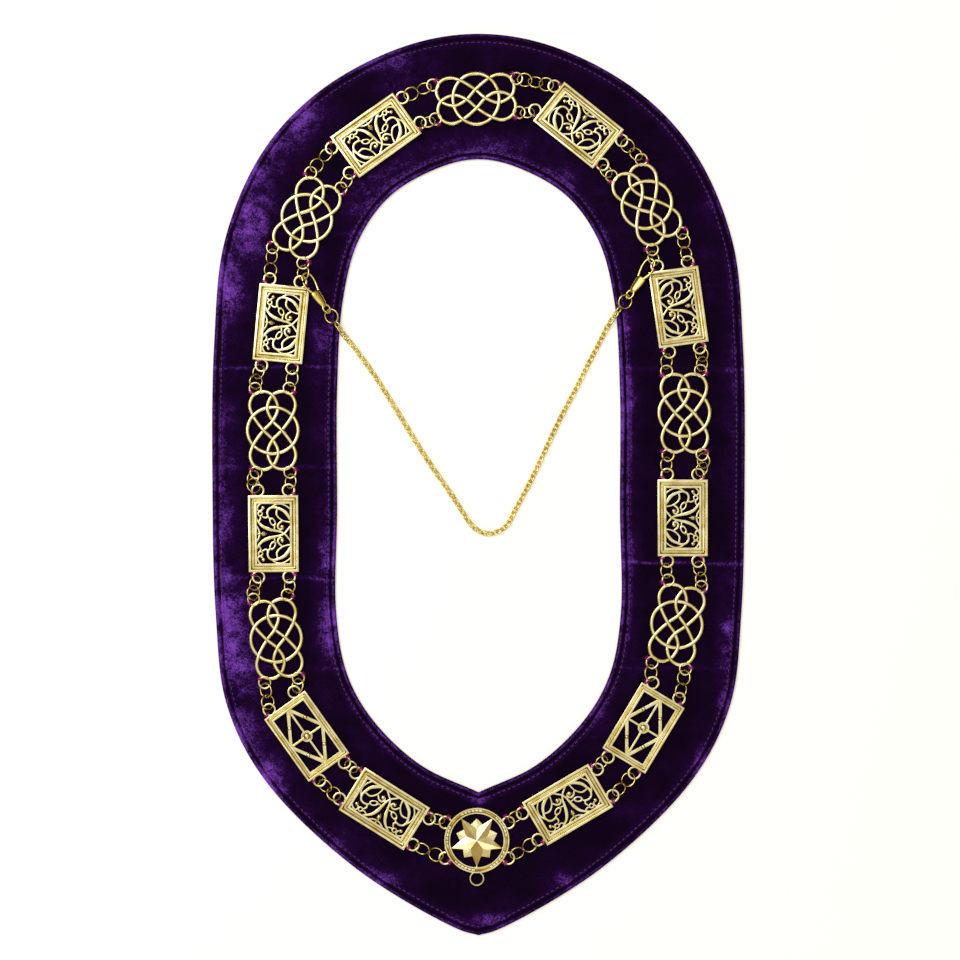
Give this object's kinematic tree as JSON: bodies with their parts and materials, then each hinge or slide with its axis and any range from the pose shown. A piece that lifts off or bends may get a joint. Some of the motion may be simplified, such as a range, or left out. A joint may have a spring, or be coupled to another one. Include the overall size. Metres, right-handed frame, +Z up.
{
  "type": "chain of office",
  "caption": "Long velvet collar that lies flat, with gilt openwork plates joined by two strands of jump rings, and a clasped safety chain across the neck opening.",
  "frame": {"origin": "middle of the collar's underside, on the surface it lies on", "axes": "+Z up out of the surface, +Y from the point in front to the back of the neck, +X to the right as seen from above"},
  "size_m": [0.3204, 0.542, 0.0093],
  "materials": {
    "velvet": "crushed velvet pile, deep purple",
    "gilt_plate": "bright gilt, cast relief",
    "gilt_wire": "bright gilt wire"
  },
  "bodies": {
    "collar": {"velvet_backing": "velvet", "knot_plate_1": "gilt_plate", "knot_plate_2": "gilt_plate", "knot_plate_3": "gilt_plate", "knot_plate_4": "gilt_plate", "knot_plate_5": "gilt_plate", "knot_plate_6": "gilt_plate", "knot_plate_7": "gilt_plate", "filigree_plaque_1": "gilt_plate", "filigree_plaque_2": "gilt_plate", "filigree_plaque_3": "gilt_plate", "filigree_plaque_4": "gilt_plate", "filigree_plaque_5": "gilt_plate", "filigree_plaque_6": "gilt_plate", "filigree_plaque_7": "gilt_plate", "filigree_plaque_8": "gilt_plate", "lozenge_plaque_1": "gilt_plate", "lozenge_plaque_2": "gilt_plate", "star_medallion": "gilt_plate", "outer_rings_1": "gilt_wire", "outer_rings_2": "gilt_wire", "outer_rings_3": "gilt_wire", "outer_rings_4": "gilt_wire", "outer_rings_5": "gilt_wire", "outer_rings_6": "gilt_wire", "outer_rings_7": "gilt_wire", "outer_rings_8": "gilt_wire", "outer_rings_9": "gilt_wire", "outer_rings_10": "gilt_wire", "outer_rings_11": "gilt_wire", "outer_rings_12": "gilt_wire", "outer_rings_13": "gilt_wire", "outer_rings_14": "gilt_wire", "outer_rings_15": "gilt_wire", "outer_rings_16": "gilt_wire", "outer_rings_17": "gilt_wire", "outer_rings_18": "gilt_wire", "inner_rings_1": "gilt_wire", "inner_rings_2": "gilt_wire", "inner_rings_3": "gilt_wire", "inner_rings_4": "gilt_wire", "inner_rings_5": "gilt_wire", "inner_rings_6": "gilt_wire", "inner_rings_7": "gilt_wire", "inner_rings_8": "gilt_wire", "inner_rings_9": "gilt_wire", "inner_rings_10": "gilt_wire", "inner_rings_11": "gilt_wire", "inner_rings_12": "gilt_wire", "inner_rings_13": "gilt_wire", "inner_rings_14": "gilt_wire", "inner_rings_15": "gilt_wire", "inner_rings_16": "gilt_wire", "inner_rings_17": "gilt_wire", "inner_rings_18": "gilt_wire", "left_clasp_body": "gilt_plate", "right_clasp_body": "gilt_plate", "safety_chain": "gilt_wire"},
    "left_clasp_lever": {"left_clasp_lever": "gilt_plate"},
    "right_clasp_lever": {"right_clasp_lever": "gilt_plate"}
  },
  "joints": [
    {"name": "left_lever_hinge", "type": "hinge", "parent": "collar", "child": "left_clasp_lever", "pos_m": [-0.09904, 0.11461, 0.00701], "axis": [-0.4018, -0.1862, -0.8966], "range_deg": [0, 18], "stiffness_Nm_per_rad": 0.03},
    {"name": "right_lever_hinge", "type": "hinge", "parent": "collar", "child": "right_clasp_lever", "pos_m": [0.09875, 0.12326, 0.00701], "axis": [-0.4018, 0.1862, 0.8966], "range_deg": [0, 18], "stiffness_Nm_per_rad": 0.03}
  ]
}
